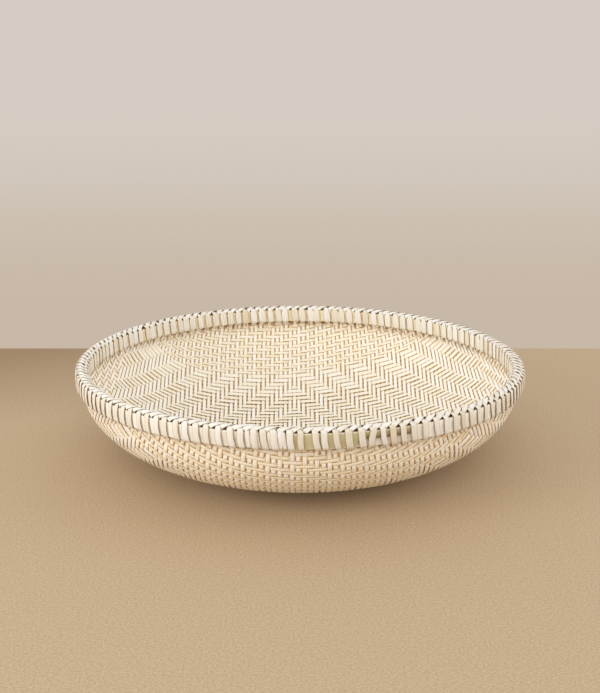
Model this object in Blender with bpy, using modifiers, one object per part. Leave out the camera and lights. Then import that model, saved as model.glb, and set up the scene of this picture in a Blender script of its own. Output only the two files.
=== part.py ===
"""A round zaru: a shallow bamboo bowl, woven of splints, with a lashed rim of two hoops.

Metres, +Z up. The origin is the centre of the flat underside, where the bowl rests.
The woven mat rises in one smooth curve to an upright edge. An inner and an outer hoop of
split bamboo hold that edge, a core strip covers it, and flat lashing strips wind round all
of them, each turn passing through a slot in the mat under the hoops.
"""

import math

import bmesh
import bpy
from mathutils import Matrix, Vector

# Rim
RIM_DIAMETER = 0.410
HOOP_HEIGHT = 0.0123
HOOP_THICKNESS = 0.0034
HOOP_EDGE_CUT = 0.0007
SCARF_LENGTH = 0.125
SCARF_TIP_THICKNESS = 0.0008

# Woven mat
WALL_HEIGHT = 0.0738
BASE_DIAMETER = 0.120
MAT_THICKNESS = 0.0020
MAT_EDGE_RECESS = 0.0008

# Core strip on the edge of the mat
CORE_WIDTH = 0.0060
CORE_HEIGHT = 0.0019
CORE_END_GAP = 0.0006

# Lashing strips
LASHING_WIDTH = 0.0054
LASHING_THICKNESS = 0.0008
LASHING_SPACE = 0.0039
LASHING_TAIL = 0.0010

# Between pieces that touch
CLEARANCE = 0.0003
SLOT_SIDE_CLEARANCE = 0.0006
CUT_OVERRUN = 0.0020
MERGE_DISTANCE = 0.00001

# Counts
LASHING_STRIPS = 6
ROUND_STEPS = 72
PROFILE_STEPS = 10
GAP_SAMPLES = 5
FEWEST_SCARF_STEPS = 2

# Shares
WALL_FULLNESS_SHARE = 0.91
CORE_CROWN_SHARE = 0.55
CORE_SHOULDER_SHARE = 0.4
TAIL_START_SHARE = 0.65
TAIL_CUT_SHARE = 0.5
WIDEST_EDGE_CUT_SHARE = 0.33

# Degrees; places are counted from +X, seen from above
OUTER_SCARF_START = -100.0
INNER_SCARF_START = 55.0
CORE_JOINT = 152.5
LASHING_START = -94.4
SHARP_ANGLE = 30.0

# Worked out from the sizes above
OUTER_HOOP_OUTSIDE = RIM_DIAMETER / 2 - LASHING_THICKNESS - CLEARANCE
OUTER_HOOP_INSIDE = OUTER_HOOP_OUTSIDE - HOOP_THICKNESS
MAT_EDGE_OUTSIDE = OUTER_HOOP_INSIDE - CLEARANCE
MAT_EDGE_INSIDE = MAT_EDGE_OUTSIDE - MAT_THICKNESS
INNER_HOOP_OUTSIDE = MAT_EDGE_INSIDE - CLEARANCE
INNER_HOOP_INSIDE = INNER_HOOP_OUTSIDE - HOOP_THICKNESS
RIM_MIDDLE = (OUTER_HOOP_OUTSIDE + INNER_HOOP_INSIDE) / 2
HOOP_TOP = WALL_HEIGHT + HOOP_HEIGHT
CORE_BOTTOM = HOOP_TOP + CLEARANCE
CORE_TOP = CORE_BOTTOM + CORE_HEIGHT
TURN_PITCH = LASHING_WIDTH + LASHING_SPACE
TURNS = max(1, round(math.pi * RIM_DIAMETER / (TURN_PITCH * LASHING_STRIPS)))
TURN_ANGLE = 2 * math.pi / (TURNS * LASHING_STRIPS)


def linear(hex_colour):
    """An sRGB hex colour as linear red, green, blue and alpha."""
    channels = [int(hex_colour[i : i + 2], 16) / 255 for i in (1, 3, 5)]
    return [c / 12.92 if c <= 0.04045 else ((c + 0.055) / 1.055) ** 2.4 for c in channels] + [1.0]


def bamboo(name, hex_colour, roughness):
    """A plain material in one colour of bamboo."""
    material = bpy.data.materials.new(name)
    material.use_nodes = True
    shader = material.node_tree.nodes["Principled BSDF"]
    shader.inputs["Base Color"].default_value = linear(hex_colour)
    shader.inputs["Roughness"].default_value = roughness
    shader.inputs["Metallic"].default_value = 0.0
    return material


def clear_scene():
    """Removes whatever the scene holds."""
    for thing in list(bpy.data.objects):
        bpy.data.objects.remove(thing, do_unlink=True)


def new_object(name, mesh, collection, material=None):
    """An object for the mesh, in the collection, with the material if one is given."""
    thing = bpy.data.objects.new(name, mesh)
    collection.objects.link(thing)
    if material:
        mesh.materials.append(material)
    return thing


def mesh_from_bmesh(name, bm):
    """A mesh with the faces of bm, all turned outwards."""
    bmesh.ops.recalc_face_normals(bm, faces=bm.faces)
    mesh = bpy.data.meshes.new(name)
    bm.to_mesh(mesh)
    bm.free()
    mesh.shade_smooth()
    mesh.set_sharp_from_angle(angle=math.radians(SHARP_ANGLE))
    return mesh


def loft(name, sections):
    """A closed solid through equal sections, each a ring of points, with a cap at either end."""
    bm = bmesh.new()
    rings = [[bm.verts.new(point) for point in section] for section in sections]
    sides = len(rings[0])
    for ring, following in zip(rings, rings[1:]):
        for i in range(sides):
            j = (i + 1) % sides
            bm.faces.new((ring[i], ring[j], following[j], following[i]))
    bm.faces.new(rings[0])
    bm.faces.new(reversed(rings[-1]))
    return mesh_from_bmesh(name, bm)


def at_angle(angle, radius, height, sideways=0.0):
    """The point at an angle round the rim, moved sideways along the rim's tangent."""
    return Matrix.Rotation(angle, 3, "Z") @ Vector((radius, sideways, height))


def wall_profile():
    """Radius and height of the mat's outside, from the upper edge down to the middle of the base."""
    base = BASE_DIAMETER / 2
    points = [(MAT_EDGE_OUTSIDE, HOOP_TOP - MAT_EDGE_RECESS)]
    for step in range(PROFILE_STEPS, -1, -1):
        turn = math.pi / 2 * step / PROFILE_STEPS
        radius = base + (MAT_EDGE_OUTSIDE - base) * math.sin(turn) ** WALL_FULLNESS_SHARE
        points.append((radius, WALL_HEIGHT * (1 - math.cos(turn))))
    points.append((0.0, 0.0))
    return points


def lashing_loop():
    """The middle line of one turn, as radius and height: up outside, over the core, down inside."""
    half = LASHING_THICKNESS / 2 + CLEARANCE
    outside = OUTER_HOOP_OUTSIDE + half
    inside = INNER_HOOP_INSIDE - half
    bottom = WALL_HEIGHT - half
    shoulder = HOOP_TOP + half
    crown = CORE_TOP + half
    reach = CORE_WIDTH / 2 * CORE_CROWN_SHARE
    return [
        (outside, bottom),
        (outside, shoulder),
        (RIM_MIDDLE + reach, crown),
        (RIM_MIDDLE - reach, crown),
        (inside, shoulder),
        (inside, bottom),
    ]


def turn_shares(loop):
    """The share of a turn's advance made along each side of the loop, the last one under the hoops."""
    spans = [math.dist(a, b) for a, b in zip(loop, loop[1:] + loop[:1])]
    return [span / sum(spans) for span in spans]


def lashing_path(first_turn):
    """Angle, radius and height of each point of one strip, from its outer tail to its inner tail."""
    loop = lashing_loop()
    shares = turn_shares(loop)
    bottom = loop[0][1]
    half_under = TURN_ANGLE * shares[-1] / 2
    start = math.radians(LASHING_START) - first_turn * TURN_ANGLE
    path = [(start + half_under, MAT_EDGE_OUTSIDE + LASHING_TAIL, bottom)]
    for turn in range(TURNS):
        gone = 0.0
        for (radius, height), share in zip(loop, shares):
            path.append((start - TURN_ANGLE * (turn + gone), radius, height))
            gone += share
    path.append((path[-1][0] - half_under, MAT_EDGE_INSIDE - LASHING_TAIL, bottom))
    return path


def slot_angles():
    """The angle of the middle of each slot, one for each turn round the whole rim."""
    half_under = TURN_ANGLE * turn_shares(lashing_loop())[-1] / 2
    start = math.radians(LASHING_START) + half_under
    return [start - TURN_ANGLE * turn for turn in range(TURNS * LASHING_STRIPS)]


def lashing_sections(path):
    """The strip's four corners at each point of its path, mitred where the path bends."""
    normals = []
    for i in range(len(path)):
        edges = []
        for a, b in ((i - 1, i), (i, i + 1)):
            if a >= 0 and b < len(path):
                step = Vector(path[b][1:]) - Vector(path[a][1:])
                edges.append(Vector((-step.y, step.x)).normalized())
        middle = (edges[0] + edges[-1]).normalized()
        normals.append(middle / middle.dot(edges[0]))
    sections = []
    for (angle, radius, height), normal in zip(path, normals):
        offset = normal * LASHING_THICKNESS / 2
        near = (radius - offset.x, height - offset.y)
        far = (radius + offset.x, height + offset.y)
        side = LASHING_WIDTH / 2
        sections.append(
            [
                at_angle(angle, *near, -side),
                at_angle(angle, *near, side),
                at_angle(angle, *far, side),
                at_angle(angle, *far, -side),
            ]
        )
    return sections


def least_gap(sections):
    """The least distance between the facing edges of neighbouring turns, measured on points."""
    per_turn = len(lashing_loop())
    shares = [k / (GAP_SAMPLES - 1) for k in range(GAP_SAMPLES)]
    least = math.inf
    for i in range(1, len(sections) - 1 - per_turn):
        for here, there in ((0, 1), (3, 2)):
            a, b = sections[i][here], sections[i + 1][here]
            c, d = sections[i + per_turn][there], sections[i + per_turn + 1][there]
            for s in shares:
                for t in shares:
                    least = min(least, (a.lerp(b, s) - c.lerp(d, t)).length)
    return least


def band_section(angle, inside, outside, bottom, top):
    """A band's section at an angle: a rectangle with cut corners."""
    edge = min(HOOP_EDGE_CUT, (outside - inside) * WIDEST_EDGE_CUT_SHARE)
    corners = [
        (inside, bottom + edge),
        (inside + edge, bottom),
        (outside - edge, bottom),
        (outside, bottom + edge),
        (outside, top - edge),
        (outside - edge, top),
        (inside + edge, top),
        (inside, top - edge),
    ]
    return [at_angle(angle, radius, height) for radius, height in corners]


def hoop(name, inside, scarf_start, collection, material):
    """A band bent into a hoop, whose two tapered ends lie one over the other in a long scarf."""
    outside = inside + HOOP_THICKNESS
    taper = HOOP_THICKNESS - 2 * SCARF_TIP_THICKNESS - CLEARANCE
    step = 2 * math.pi / ROUND_STEPS
    overlap = max(FEWEST_SCARF_STEPS, round(SCARF_LENGTH / outside / step))
    start = round(math.radians(scarf_start) / step) * step
    sections = []
    for i in range(ROUND_STEPS + overlap + 1):
        inner, outer, bottom = inside, outside, WALL_HEIGHT
        if i <= overlap:
            outer = inside + SCARF_TIP_THICKNESS + taper * i / overlap
        if i >= ROUND_STEPS:
            along = (i - ROUND_STEPS) / overlap
            inner = inside + SCARF_TIP_THICKNESS + CLEARANCE + taper * along
            if along >= TAIL_START_SHARE:
                bottom += HOOP_HEIGHT * TAIL_CUT_SHARE
        sections.append(band_section(start + i * step, inner, outer, bottom, HOOP_TOP))
    return new_object(name, loft(name, sections), collection, material)


def rim_core(collection, material):
    """The half-round strip that covers the edge of the mat, its ends butted together."""
    half = CORE_WIDTH / 2
    shoulder = CORE_BOTTOM + CORE_HEIGHT * CORE_SHOULDER_SHARE
    reach = half * CORE_CROWN_SHARE
    corners = [
        (-half, CORE_BOTTOM),
        (half, CORE_BOTTOM),
        (half, shoulder),
        (reach, CORE_TOP),
        (-reach, CORE_TOP),
        (-half, shoulder),
    ]
    joint = CORE_END_GAP / RIM_MIDDLE
    sections = []
    for i in range(ROUND_STEPS + 1):
        angle = math.radians(CORE_JOINT) + joint / 2 + (2 * math.pi - joint) * i / ROUND_STEPS
        sections.append([at_angle(angle, RIM_MIDDLE + across, height) for across, height in corners])
    return new_object("rim_core", loft("rim_core", sections), collection, material)


def slot_cutters(collection):
    """One box for each slot that a turn of lashing passes through, under the hoops."""
    bm = bmesh.new()
    size = Vector(
        (
            MAT_THICKNESS + 2 * CUT_OVERRUN,
            LASHING_WIDTH + 2 * SLOT_SIDE_CLEARANCE,
            LASHING_THICKNESS + 2 * CLEARANCE,
        )
    )
    middle = Vector(((MAT_EDGE_OUTSIDE + MAT_EDGE_INSIDE) / 2, 0.0, lashing_loop()[0][1]))
    for angle in slot_angles():
        place = Matrix.Rotation(angle, 4, "Z") @ Matrix.Translation(middle)
        bmesh.ops.create_cube(bm, size=1.0, matrix=place @ Matrix.Diagonal(size).to_4x4())
    cutter = new_object("lashing_slots", mesh_from_bmesh("lashing_slots", bm), collection)
    cutter.hide_render = True
    cutter.display_type = "WIRE"
    return cutter


def woven_mat(collection, cutter, material):
    """The bowl: its outer line turned round, thickened inwards, and slotted for the lashing."""
    points = [(radius, 0.0, height) for radius, height in wall_profile()]
    mesh = bpy.data.meshes.new("woven_mat")
    mesh.from_pydata(points, [(i, i + 1) for i in range(len(points) - 1)], [])
    mat = new_object("woven_mat", mesh, collection, material)
    turned = mat.modifiers.new("turned", "SCREW")
    turned.axis = "Z"
    turned.steps = ROUND_STEPS
    turned.render_steps = ROUND_STEPS
    turned.use_merge_vertices = True
    turned.merge_threshold = MERGE_DISTANCE
    turned.use_smooth_shade = True
    wall = mat.modifiers.new("thickness", "SOLIDIFY")
    wall.thickness = MAT_THICKNESS
    wall.offset = -1.0
    wall.use_even_offset = True
    slots = mat.modifiers.new("slots", "BOOLEAN")
    slots.operation = "DIFFERENCE"
    slots.solver = "EXACT"
    slots.object = cutter
    return mat


def lashing(number, collection, material):
    """One strip wound on through its share of the turns, with its least gap to itself printed."""
    name = f"lashing_{number + 1}"
    sections = lashing_sections(lashing_path(number * TURNS))
    print(f"{name}: least gap between turns {least_gap(sections) * 1000:.2f} mm")
    return new_object(name, loft(name, sections), collection, material)


def new_collection(name):
    """A collection in the scene."""
    collection = bpy.data.collections.new(name)
    bpy.context.scene.collection.children.link(collection)
    return collection


def main():
    """Builds the basket."""
    clear_scene()
    basket = new_collection("zaru_basket")
    cutters = new_collection("cutters")
    woven_mat(basket, slot_cutters(cutters), bamboo("woven_bamboo", "#e2cda6", 0.62))
    skin = bamboo("bamboo_skin", "#cdc199", 0.45)
    hoop("outer_hoop", OUTER_HOOP_INSIDE, OUTER_SCARF_START, basket, skin)
    band = bamboo("bamboo_band", "#dfcfa9", 0.5)
    hoop("inner_hoop", INNER_HOOP_INSIDE, INNER_SCARF_START, basket, band)
    rim_core(basket, bamboo("bamboo_core", "#e3d2b0", 0.6))
    strip = bamboo("bamboo_strip", "#ebdfc9", 0.5)
    for number in range(LASHING_STRIPS):
        lashing(number, basket, strip)


main()
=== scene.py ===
"""A round zaru: a shallow bowl of woven and lashed bamboo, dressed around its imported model.

Metres, +Z up, the front of the basket towards -Y. The bowl is laid splint by splint: front-to-back and
left-to-right splints cross in a twill of concentric diamonds, with finer splints near the rim. Two hoops
hold the edge of the mat, and flat strips of shaved bamboo are lashed round them.
"""

import logging
import math
from dataclasses import dataclass, field
from enum import Enum

import bpy
import numpy as np
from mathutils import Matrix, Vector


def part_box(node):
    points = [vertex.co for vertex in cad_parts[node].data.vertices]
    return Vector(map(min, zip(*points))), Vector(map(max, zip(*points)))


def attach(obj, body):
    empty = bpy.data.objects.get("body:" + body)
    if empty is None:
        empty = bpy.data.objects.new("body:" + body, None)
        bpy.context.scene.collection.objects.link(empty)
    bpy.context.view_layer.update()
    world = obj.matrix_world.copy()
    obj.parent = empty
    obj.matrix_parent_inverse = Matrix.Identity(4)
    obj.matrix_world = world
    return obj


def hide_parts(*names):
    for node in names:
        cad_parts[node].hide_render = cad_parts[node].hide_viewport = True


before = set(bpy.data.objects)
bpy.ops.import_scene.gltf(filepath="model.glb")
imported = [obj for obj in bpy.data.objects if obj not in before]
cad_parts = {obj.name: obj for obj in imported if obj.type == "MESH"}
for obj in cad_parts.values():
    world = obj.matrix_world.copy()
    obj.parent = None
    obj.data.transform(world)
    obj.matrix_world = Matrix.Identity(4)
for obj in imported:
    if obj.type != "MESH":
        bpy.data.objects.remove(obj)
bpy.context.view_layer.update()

LOG = logging.getLogger("zaru")
BODY = "root"
MM = 0.001
SHARP_DEGREES = 50


class Slot(Enum):
    """Names of the record's material slots."""

    WEAVE = "woven_bamboo"
    SKIN = "bamboo_skin"
    BAND = "bamboo_band"
    CORE = "bamboo_core"
    STRIP = "bamboo_strip"


class Trait(Enum):
    """What each point of a strip carries for its sweep and its finish."""

    ALONG = "along"
    ACROSS = "across"
    SHADE = "shade"
    GIRTH = "girth"
    LIFT = "lift"
    SIDE = "side"
    GAP = "gap"
    FACE = "face"


def linear(hex_colour: str) -> tuple[float, float, float, float]:
    """Turns an sRGB hex colour linear.

    Args:
        hex_colour: the colour as #rrggbb.

    Returns:
        Linear red, green, blue and an alpha of 1.
    """
    channels = [int(hex_colour[i : i + 2], 16) / 255 for i in (1, 3, 5)]
    red, green, blue = (c / 12.92 if c <= 0.04045 else ((c + 0.055) / 1.055) ** 2.4 for c in channels)
    return (red, green, blue, 1.0)


def add_node(
    tree: bpy.types.NodeTree, kind: str, inputs: dict | None = None, **settings: object
) -> bpy.types.Node:
    """Adds a node with its settings, its input values and its links.

    Args:
        tree: the tree that gets the node.
        kind: the node's type.
        inputs: for an input's name or number, its value, the output that feeds it, or a node whose first
            output does.
        settings: the node's own properties.

    Returns:
        The new node.
    """
    made = tree.nodes.new(kind)
    for name, value in settings.items():
        setattr(made, name, value)
    for key, value in (inputs or {}).items():
        source = value.outputs[0] if isinstance(value, bpy.types.Node) else value
        if isinstance(source, bpy.types.NodeSocket):
            tree.links.new(source, made.inputs[key])
        else:
            made.inputs[key].default_value = source
    return made


@dataclass(frozen=True)
class BambooFinish:
    """Split bamboo: long fibres along each strip, a tint of its own on each strip, and warmer cut edges.

    Attributes:
        name: the material's name.
        pale: colour of the palest strips.
        deep: colour of the deepest strips.
        fibre: colour of the fibre lines.
        edge: colour of the cut edges.
        fibre_width: width of a fibre line across the strip.
        fibre_length: length of a fibre line along the strip.
        strip_width: width of the strip, which the across trait spans.
        fibre_amount: how strongly the fibre lines tint.
        edge_start: share of the half width where the edge colour sets in.
        edge_amount: how strongly the edge colour covers.
        cut: colour of the narrow faces where the strip was split, darkened as painted shade of the gaps
            beside them.
        cut_shade_amount: how strongly the cut colour and its painted shade cover.
        under_shade: painted shade where the strip lies under what it crosses, or faces what it lies on.
        under_shade_amount: how strongly the painted shade covers.
        roughness: of the shader.
        gloss: the shader's specular level, low because bare bamboo is dry.
        relief: height of the fibre lines.
        relief_strength: how strongly they bend the light.
        fibre_span: values of the fibre noise between which a fibre line sets in.
        cut_shade_span: shares of the half width between which the cut colour and its painted shade set in.
        under_shade_span: lift times side, 1 for over and -1 for under, between which the painted shade sets
            in.
        shade_jump: how far apart strips of the palest and the deepest tint lie in the fibre noise.
    """

    name: str
    pale: str
    deep: str
    fibre: str
    edge: str
    fibre_width: float = 0.35 * MM
    fibre_length: float = 30 * MM
    strip_width: float = 5 * MM
    fibre_amount: float = 0.35
    edge_start: float = 0.72
    edge_amount: float = 0.6
    cut: str = "#7a4c20"
    cut_shade_amount: float = 0.0
    under_shade: str = "#8a5a28"
    under_shade_amount: float = 0.0
    roughness: float = 0.5
    gloss: float = 0.25
    relief: float = 0.06 * MM
    relief_strength: float = 0.6
    fibre_span: tuple[float, float] = (0.45, 0.72)
    cut_shade_span: tuple[float, float] = (0.87, 0.95)
    under_shade_span: tuple[float, float] = (0.2, -0.9)
    shade_jump: float = 97.0

    def build(self) -> bpy.types.Material:
        """Builds the material.

        Returns:
            The material, which reads the traits that each strip's points carry.
        """
        material = bpy.data.materials.new(self.name)
        material.use_nodes = True
        tree = material.node_tree
        along, across, shade, lift, side = (
            add_node(tree, "ShaderNodeAttribute", attribute_name=trait.value).outputs["Fac"]
            for trait in (Trait.ALONG, Trait.ACROSS, Trait.SHADE, Trait.LIFT, Trait.SIDE)
        )
        half_fibres = self.strip_width / 2 / self.fibre_width
        scales = ((along, 1 / self.fibre_length), (across, half_fibres), (shade, self.shade_jump))
        axes = {
            axis: add_node(tree, "ShaderNodeMath", {0: source, 1: scale}, operation="MULTIPLY")
            for axis, (source, scale) in enumerate(scales)
        }
        place = add_node(tree, "ShaderNodeCombineXYZ", axes)
        fibres = add_node(
            tree, "ShaderNodeTexNoise", {"Vector": place, "Scale": 1.0, "Detail": 2.0, "Roughness": 0.6}
        )
        spread = add_node(tree, "ShaderNodeMath", {0: across}, operation="ABSOLUTE")
        turned = add_node(tree, "ShaderNodeMath", {0: lift, 1: side}, operation="MULTIPLY")
        tints = {0: shade, 6: linear(self.pale), 7: linear(self.deep)}
        colour = add_node(tree, "ShaderNodeMix", tints, data_type="RGBA").outputs[2]
        for source, (start, end), amount, tone in (
            (fibres, self.fibre_span, self.fibre_amount, self.fibre),
            (spread, (self.edge_start, 1.0), self.edge_amount, self.edge),
            # Painted shade on the split faces, which stand in the gaps between strips.
            (spread, self.cut_shade_span, self.cut_shade_amount, self.cut),
            # Painted shade where a strip lies under another, as seen from that side.
            (turned, self.under_shade_span, self.under_shade_amount, self.under_shade),
        ):
            mask = add_node(tree, "ShaderNodeMapRange", {0: source, 1: start, 2: end, 4: amount})
            layers = {0: mask, 6: colour, 7: linear(tone)}
            colour = add_node(tree, "ShaderNodeMix", layers, data_type="RGBA").outputs[2]
        relief = {"Strength": self.relief_strength, "Distance": self.relief, "Height": fibres}
        bump = add_node(tree, "ShaderNodeBump", relief)
        shader = tree.nodes["Principled BSDF"]
        tree.links.new(self.darken(tree, colour, side), shader.inputs["Base Color"])
        tree.links.new(bump.outputs[0], shader.inputs["Normal"])
        shader.inputs["Roughness"].default_value = self.roughness
        shader.inputs["Specular IOR Level"].default_value = self.gloss
        return material

    def darken(
        self, tree: bpy.types.NodeTree, colour: bpy.types.NodeSocket, side: bpy.types.NodeSocket
    ) -> bpy.types.NodeSocket:
        """Lets a finish darken the strips in places. This one leaves them as they are.

        Args:
            tree: the material's tree.
            colour: the colour so far.
            side: which flat side of the strip is seen, from -1 to 1.

        Returns:
            The colour to use.
        """
        return colour


@dataclass(frozen=True, kw_only=True)
class PiercedFinish(BambooFinish):
    """The splints' finish, darkened by painted shade and stain under the hoops, and by painted shade of the
    holes where each turn of the lashing pierces the mat.

    Attributes:
        turns: turns of the lashing round the rim.
        start: where its first turn leaves the mat on the outside, in degrees from +X.
        inside_share: share of a turn after which it enters the mat again on the inside.
        high: height where the darkened band is darkest, which is the hoops' underside.
        low: height where it begins.
        rim_shade_and_stain: its colour, painted shade and stain under the hoops.
        rim_shade_and_stain_amount: how strongly it covers where it is darkest.
        pit_shade: painted shade of the holes where the lashing pierces the mat, in spots beside each turn.
        pit_shade_amounts: how strongly it covers, on the outside and on the inside.
        pit_feet: how far under the darkened band's top the spots begin there.
        pit_top: how far under it they are full.
        pit_lag: share of a turn by which a spot lies beside the strip that makes it.
        raggedness: how far the spots' edges waver.
        ragged_scale: how many patches of the noise behind that there are to a metre.
        pinhole_shade: painted shade round the small holes between crossings.
        pinhole_shade_amount: how strongly it covers.
        pinhole_shade_span: shares of the half width between which it sets in.
        gap_span: values of the gap trait between which it sets in.
        side_span: values of the side between which the outside turns into the inside.
        ragged_span: values of the noise between which the waver runs from least to most.
        spot_span: values of the wave round the rim between which a spot sets in.
        patch_span: values of the noise between which the darkened band's patches set in.
        patch_floor: how much of its colour it keeps between them.
    """

    turns: int
    start: float
    inside_share: float
    high: float
    low: float = 60 * MM
    rim_shade_and_stain: str = "#a87c34"
    rim_shade_and_stain_amount: float = 0.5
    pit_shade: str = "#8a5a18"
    pit_shade_amounts: tuple[float, float] = (0.6, 0.95)
    pit_feet: tuple[float, float] = (3 * MM, 8 * MM)
    pit_top: float = 2 * MM
    pit_lag: float = 0.45
    raggedness: float = 0.6
    ragged_scale: float = 260.0
    pinhole_shade: str = "#3c1c00"
    pinhole_shade_amount: float = 0.95
    pinhole_shade_span: tuple[float, float] = (0.74, 0.86)
    gap_span: tuple[float, float] = (0.4, 0.7)
    side_span: tuple[float, float] = (-0.1, 0.1)
    ragged_span: tuple[float, float] = (0.35, 0.65)
    spot_span: tuple[float, float] = (0.2, 0.8)
    patch_span: tuple[float, float] = (0.4, 0.6)
    patch_floor: float = 0.3

    def darken(
        self, tree: bpy.types.NodeTree, colour: bpy.types.NodeSocket, side: bpy.types.NodeSocket
    ) -> bpy.types.NodeSocket:
        """Darkens the mat with painted shade and stain under the hoops, and with painted shade most beside
        each turn of the lashing and round the small holes between crossings.

        Args:
            tree: the material's tree.
            colour: the colour so far.
            side: which flat side of the strip is seen, from -1 to 1.

        Returns:
            The colour to use.
        """
        across, gap = (
            add_node(tree, "ShaderNodeAttribute", attribute_name=trait.value).outputs["Fac"]
            for trait in (Trait.ACROSS, Trait.GAP)
        )
        spread = add_node(tree, "ShaderNodeMath", {0: across}, operation="ABSOLUTE")
        at_edge = add_node(
            tree, "ShaderNodeMapRange", {0: spread, 1: self.pinhole_shade_span[0], 2: self.pinhole_shade_span[1]}
        )
        gaps = {0: gap, 1: self.gap_span[0], 2: self.gap_span[1], 4: self.pinhole_shade_amount}
        in_gap = add_node(tree, "ShaderNodeMapRange", gaps)

        spot = add_node(tree, "ShaderNodeTexCoord").outputs["Object"]
        parts = add_node(tree, "ShaderNodeSeparateXYZ", {0: spot}).outputs
        height = parts[2]
        inside = add_node(tree, "ShaderNodeMapRange", {0: side, 1: self.side_span[0], 2: self.side_span[1]})
        angle = add_node(tree, "ShaderNodeMath", {0: parts[1], 1: parts[0]}, operation="ARCTAN2")
        from_start = add_node(
            tree, "ShaderNodeMath", {0: angle, 1: math.radians(self.start)}, operation="SUBTRACT"
        )
        turned = add_node(
            tree, "ShaderNodeMath", {0: from_start, 1: float(self.turns)}, operation="MULTIPLY"
        )
        lags = [2 * math.pi * (share + self.pit_lag) for share in (0.0, self.inside_share)]
        phase = add_node(tree, "ShaderNodeMapRange", {0: inside, 3: lags[0], 4: lags[1]})
        shifted = add_node(tree, "ShaderNodeMath", {0: turned, 1: phase}, operation="ADD")
        wave = add_node(tree, "ShaderNodeMath", {0: shifted}, operation="COSINE")
        ragged = add_node(
            tree, "ShaderNodeTexNoise", {"Vector": spot, "Scale": self.ragged_scale, "Detail": 2.0}
        )
        low, high = self.ragged_span
        waver = {0: ragged, 1: low, 2: high, 3: -self.raggedness, 4: self.raggedness}
        uneven = add_node(tree, "ShaderNodeMapRange", waver)
        wavering = add_node(tree, "ShaderNodeMath", {0: wave, 1: uneven}, operation="ADD")
        beside = add_node(
            tree, "ShaderNodeMapRange", {0: wavering, 1: self.spot_span[0], 2: self.spot_span[1]}
        )

        feet = [self.high - drop for drop in self.pit_feet]
        foot = add_node(tree, "ShaderNodeMapRange", {0: inside, 3: feet[0], 4: feet[1]})
        depth = add_node(
            tree, "ShaderNodeMapRange", {0: inside, 3: self.pit_shade_amounts[0], 4: self.pit_shade_amounts[1]}
        )
        close = add_node(
            tree, "ShaderNodeMapRange", {0: height, 1: foot, 2: self.high - self.pit_top, 4: depth}
        )
        near = add_node(
            tree, "ShaderNodeMapRange", {0: height, 1: self.low, 2: self.high, 4: self.rim_shade_and_stain_amount}
        )
        patches = {0: ragged, 1: self.patch_span[0], 2: self.patch_span[1], 3: self.patch_floor}
        patchy = add_node(tree, "ShaderNodeMapRange", patches)
        for first, second, tone in (
            # Painted shade round the small holes between crossings.
            (at_edge, in_gap, self.pinhole_shade),
            # Painted shade and stain, darkening the mat in patches towards the hoops' underside.
            (near, patchy, self.rim_shade_and_stain),
            # Painted shade of the holes where each turn of the lashing pierces the mat, in spots beside it.
            (beside, close, self.pit_shade),
        ):
            mask = add_node(tree, "ShaderNodeMath", {0: first, 1: second}, operation="MULTIPLY")
            layers = {0: mask, 6: colour, 7: linear(tone)}
            colour = add_node(tree, "ShaderNodeMix", layers, data_type="RGBA").outputs[2]
        return colour


@dataclass
class StripPath:
    """The middle line of one strip, with what its points carry.

    Attributes:
        points: one row of x, y, z for each point.
        faces: the direction that the strip's flat side faces at each point.
        shade: the strip's own tint, from 0 to 1, alike for all points or one for each.
        girth: width and thickness as a multiple of the strip's own, alike for all points or one for each.
        lift: whether the strip lies over, 1, or under, -1, what it crosses, alike for all points or one for
            each.
        gap: whether it spans a gap between two strips that it crosses, 1, or not, 0.
    """

    points: np.ndarray
    faces: np.ndarray
    shade: float | np.ndarray = 0.5
    girth: float | np.ndarray = 1.0
    lift: float | np.ndarray = 1.0
    gap: float | np.ndarray = 0.0

    def along(self) -> np.ndarray:
        """The length run from the strip's start to each point."""
        steps = np.linalg.norm(np.diff(self.points, axis=0), axis=1)
        return np.concatenate([[0.0], np.cumsum(steps)])

    def upright_faces(self) -> np.ndarray:
        """Turns the facing directions square to the path.

        Returns:
            One row of x, y, z for each point.
        """
        run = np.gradient(self.points, axis=0)
        run /= np.linalg.norm(run, axis=1, keepdims=True)
        square = self.faces - run * np.sum(self.faces * run, axis=1, keepdims=True)
        return square / np.linalg.norm(square, axis=1, keepdims=True)


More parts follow.
